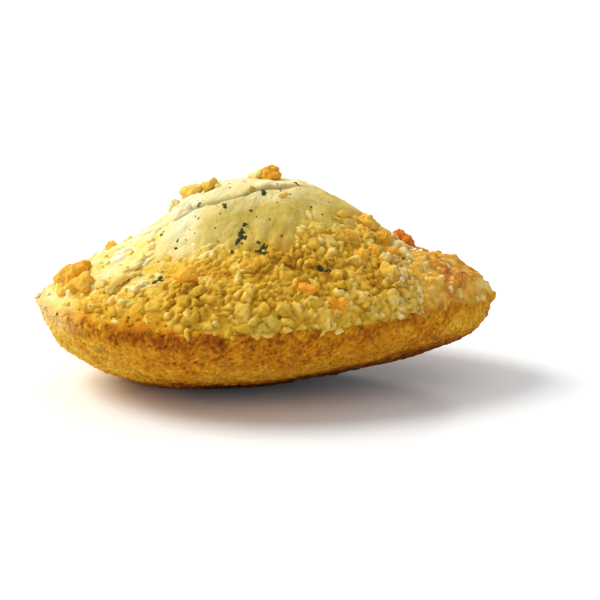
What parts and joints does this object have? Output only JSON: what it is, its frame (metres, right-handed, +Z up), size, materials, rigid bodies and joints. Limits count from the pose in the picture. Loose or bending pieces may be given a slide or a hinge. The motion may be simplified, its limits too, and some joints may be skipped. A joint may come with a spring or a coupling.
{
  "type": "savoury madeleine cake",
  "caption": "Small boat-shaped sponge cake with a rounded shell-fluted underside, a humped top and a baked-on crumb and herb crust.",
  "frame": {"origin": "under the middle of the plan outline, on the surface that the cake rests on", "axes": "+X along the cake towards its narrow end, +Z up out of the crumb-covered top, +Y across it"},
  "size_m": [0.08, 0.0498, 0.0362],
  "materials": {
    "crust": "matte"
  },
  "bodies": {
    "root": {"cake": "crust"}
  },
  "joints": []
}
